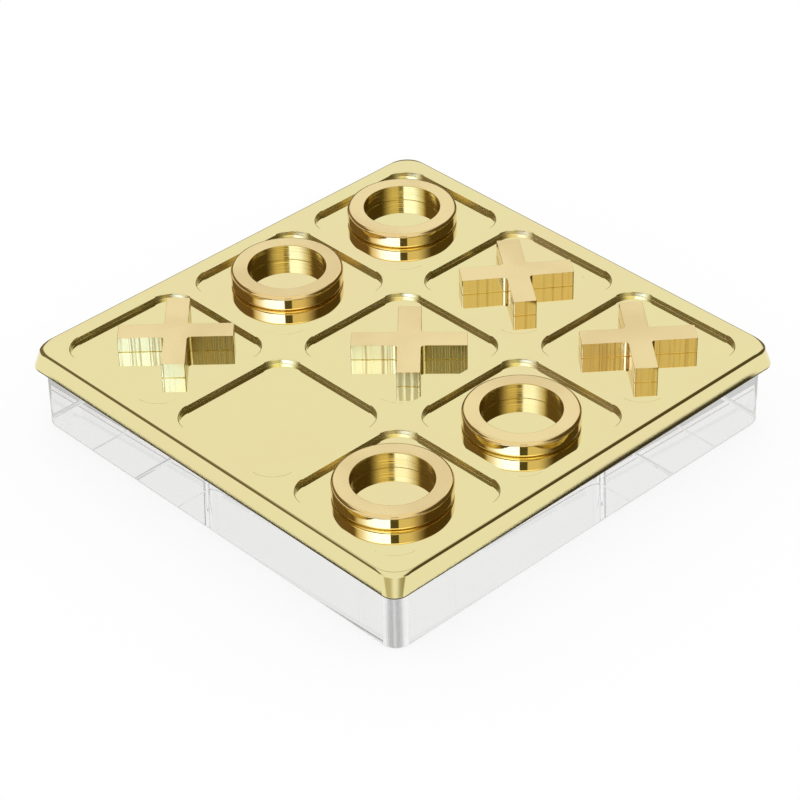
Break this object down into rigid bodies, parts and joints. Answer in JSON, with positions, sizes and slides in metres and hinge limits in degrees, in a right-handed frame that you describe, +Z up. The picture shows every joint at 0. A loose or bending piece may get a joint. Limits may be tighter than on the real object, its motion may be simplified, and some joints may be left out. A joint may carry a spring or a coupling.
{
  "type": "tic-tac-toe board",
  "caption": "Square brass tabletop board with shallow round-cornered pockets on a thick clear acrylic block, set out with loose solid brass rings and crosses.",
  "frame": {"origin": "middle of the clear block's underside, on the surface that the board stands on", "axes": "+Z up; +X along the three pocket columns and +Y along the three pocket rows, so that the picture looks from the corner at -X -Y towards the corner at +X +Y"},
  "size_m": [0.1592, 0.1592, 0.031],
  "materials": {
    "clear_acrylic": "gloss",
    "clear_adhesive": "gloss",
    "polished_brass": "polished",
    "turned_brass": "satin"
  },
  "bodies": {
    "board": {"base_block": "clear_acrylic", "adhesive_pads": "clear_adhesive", "brass_plate": "polished_brass"},
    "ring_1": {"ring_1": "turned_brass"},
    "ring_2": {"ring_2": "turned_brass"},
    "ring_3": {"ring_3": "turned_brass"},
    "ring_4": {"ring_4": "turned_brass"},
    "cross_1": {"cross_1": "turned_brass"},
    "cross_2": {"cross_2": "turned_brass"},
    "cross_3": {"cross_3": "turned_brass"},
    "cross_4": {"cross_4": "turned_brass"}
  },
  "joints": [
    {"name": "ring_1_lift", "type": "slide", "parent": "board", "child": "ring_1", "axis": [0, 0, 1], "range_m": [0, 0.06]},
    {"name": "ring_2_lift", "type": "slide", "parent": "board", "child": "ring_2", "axis": [0, 0, 1], "range_m": [0, 0.06]},
    {"name": "ring_3_lift", "type": "slide", "parent": "board", "child": "ring_3", "axis": [0, 0, 1], "range_m": [0, 0.06]},
    {"name": "ring_4_lift", "type": "slide", "parent": "board", "child": "ring_4", "axis": [0, 0, 1], "range_m": [0, 0.06]},
    {"name": "cross_1_lift", "type": "slide", "parent": "board", "child": "cross_1", "axis": [0, 0, 1], "range_m": [0, 0.06]},
    {"name": "cross_2_lift", "type": "slide", "parent": "board", "child": "cross_2", "axis": [0, 0, 1], "range_m": [0, 0.06]},
    {"name": "cross_3_lift", "type": "slide", "parent": "board", "child": "cross_3", "axis": [0, 0, 1], "range_m": [0, 0.06]},
    {"name": "cross_4_lift", "type": "slide", "parent": "board", "child": "cross_4", "axis": [0, 0, 1], "range_m": [0, 0.06]}
  ]
}
